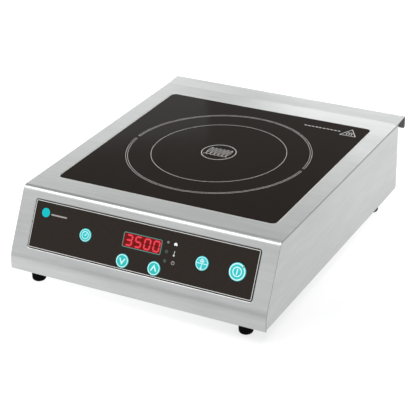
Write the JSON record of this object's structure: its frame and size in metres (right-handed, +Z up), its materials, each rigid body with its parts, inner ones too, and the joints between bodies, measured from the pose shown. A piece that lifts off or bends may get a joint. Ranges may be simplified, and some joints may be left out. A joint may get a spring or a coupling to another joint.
{
  "type": "countertop induction hob",
  "caption": "Free-standing steel induction hob with a flush square black glass top, a sloped control panel with push buttons, and a rear strip that overhangs the back.",
  "frame": {"origin": "middle of the footprint, cover and rear strip included, at the level of the worktop under the feet", "axes": "+Z up, front with the controls towards -Y, +X to the right of a person using the hob"},
  "size_m": [0.327, 0.4084, 0.1059],
  "materials": {
    "cover_steel": "fine brushed stainless, grain across the width",
    "side_steel": "fine brushed stainless",
    "rear_steel": "fine brushed stainless",
    "base_steel": "zinc-plated sheet, satin",
    "screw_steel": "zinc plated",
    "glass": "opaque black-brown ceramic glass, polished",
    "silicone": "matte",
    "mica": "matte, flecked",
    "copper": "enamelled copper litz, satin",
    "carrier": "moulded, matte",
    "ferrite": "sintered, matte",
    "ceramic": "matte",
    "overlay": "printed, semi-gloss",
    "display_lens": "smoked red, glossy",
    "digit_block": "matte",
    "button_teal": "moulded, satin gloss",
    "foot_rubber": "matte",
    "circuit_board": "solder mask, satin",
    "aluminium": "extruded, satin",
    "black_plastic": "moulded, fine texture",
    "fan_plastic": "moulded, satin",
    "capacitor": "potted box, satin",
    "brass": "turned",
    "ribbon": "satin"
  },
  "bodies": {
    "housing": {"cover_sheet": "cover_steel", "side_panel_left": "side_steel", "side_panel_right": "side_steel", "rear_panel": "rear_steel", "base_plate": "base_steel", "glass_plate": "glass", "glass_seal": "silicone", "insulation_sheet": "mica", "induction_coil": "copper", "coil_carrier": "carrier", "sensor_holder": "silicone", "temperature_sensor": "ceramic", "control_overlay": "overlay", "display_window": "display_lens", "digit_module": "digit_block", "control_board": "circuit_board", "power_board": "circuit_board", "heat_sink": "aluminium", "power_transistor_1": "black_plastic", "power_transistor_2": "black_plastic", "bridge_rectifier": "black_plastic", "resonant_capacitor_1": "capacitor", "resonant_capacitor_2": "capacitor", "filter_capacitor": "capacitor", "mains_choke": "copper", "mains_fuse": "ceramic", "terminal_block": "black_plastic", "earth_stud": "brass", "flat_cable": "ribbon", "cable_gland": "black_plastic", "gland_nut": "black_plastic", "ferrite_bar_1": "ferrite", "ferrite_bar_2": "ferrite", "ferrite_bar_3": "ferrite", "ferrite_bar_4": "ferrite", "ferrite_bar_5": "ferrite", "ferrite_bar_6": "ferrite", "foot_front_left": "foot_rubber", "foot_screw_front_left": "screw_steel", "foot_front_right": "foot_rubber", "foot_screw_front_right": "screw_steel", "foot_rear_left": "foot_rubber", "foot_screw_rear_left": "screw_steel", "foot_rear_right": "foot_rubber", "foot_screw_rear_right": "screw_steel", "base_screw_front_left": "screw_steel", "base_screw_front_right": "screw_steel", "base_screw_rear_left": "screw_steel", "base_screw_rear_right": "screw_steel", "rear_screw_left": "screw_steel", "rear_screw_right": "screw_steel", "fan_frame_left": "black_plastic", "fan_frame_right": "black_plastic"},
    "timer_button": {"timer_button": "button_teal"},
    "down_button": {"down_button": "button_teal"},
    "up_button": {"up_button": "button_teal"},
    "mode_button": {"mode_button": "button_teal"},
    "power_button": {"power_button": "button_teal"},
    "fan_rotor_left": {"fan_rotor_left": "fan_plastic"},
    "fan_rotor_right": {"fan_rotor_right": "fan_plastic"}
  },
  "joints": [
    {"name": "timer_press", "type": "slide", "parent": "housing", "child": "timer_button", "axis": [0, 0.8853, -0.465], "range_m": [0, 0.0005], "stiffness_N_per_m": 1200, "springref_m": -0.0006},
    {"name": "down_press", "type": "slide", "parent": "housing", "child": "down_button", "axis": [0, 0.8853, -0.465], "range_m": [0, 0.0005], "stiffness_N_per_m": 1200, "springref_m": -0.0006},
    {"name": "up_press", "type": "slide", "parent": "housing", "child": "up_button", "axis": [0, 0.8853, -0.465], "range_m": [0, 0.0005], "stiffness_N_per_m": 1200, "springref_m": -0.0006},
    {"name": "mode_press", "type": "slide", "parent": "housing", "child": "mode_button", "axis": [0, 0.8853, -0.465], "range_m": [0, 0.0005], "stiffness_N_per_m": 1200, "springref_m": -0.0006},
    {"name": "power_press", "type": "slide", "parent": "housing", "child": "power_button", "axis": [0, 0.8853, -0.465], "range_m": [0, 0.0005], "stiffness_N_per_m": 1200, "springref_m": -0.0006},
    {"name": "fan_spin_left", "type": "hinge", "parent": "housing", "child": "fan_rotor_left", "pos_m": [-0.092, -0.10725, 0.0255], "axis": [0, 0, 1], "continuous": true},
    {"name": "fan_spin_right", "type": "hinge", "parent": "housing", "child": "fan_rotor_right", "pos_m": [0.092, -0.10725, 0.0255], "axis": [0, 0, 1], "continuous": true}
  ]
}
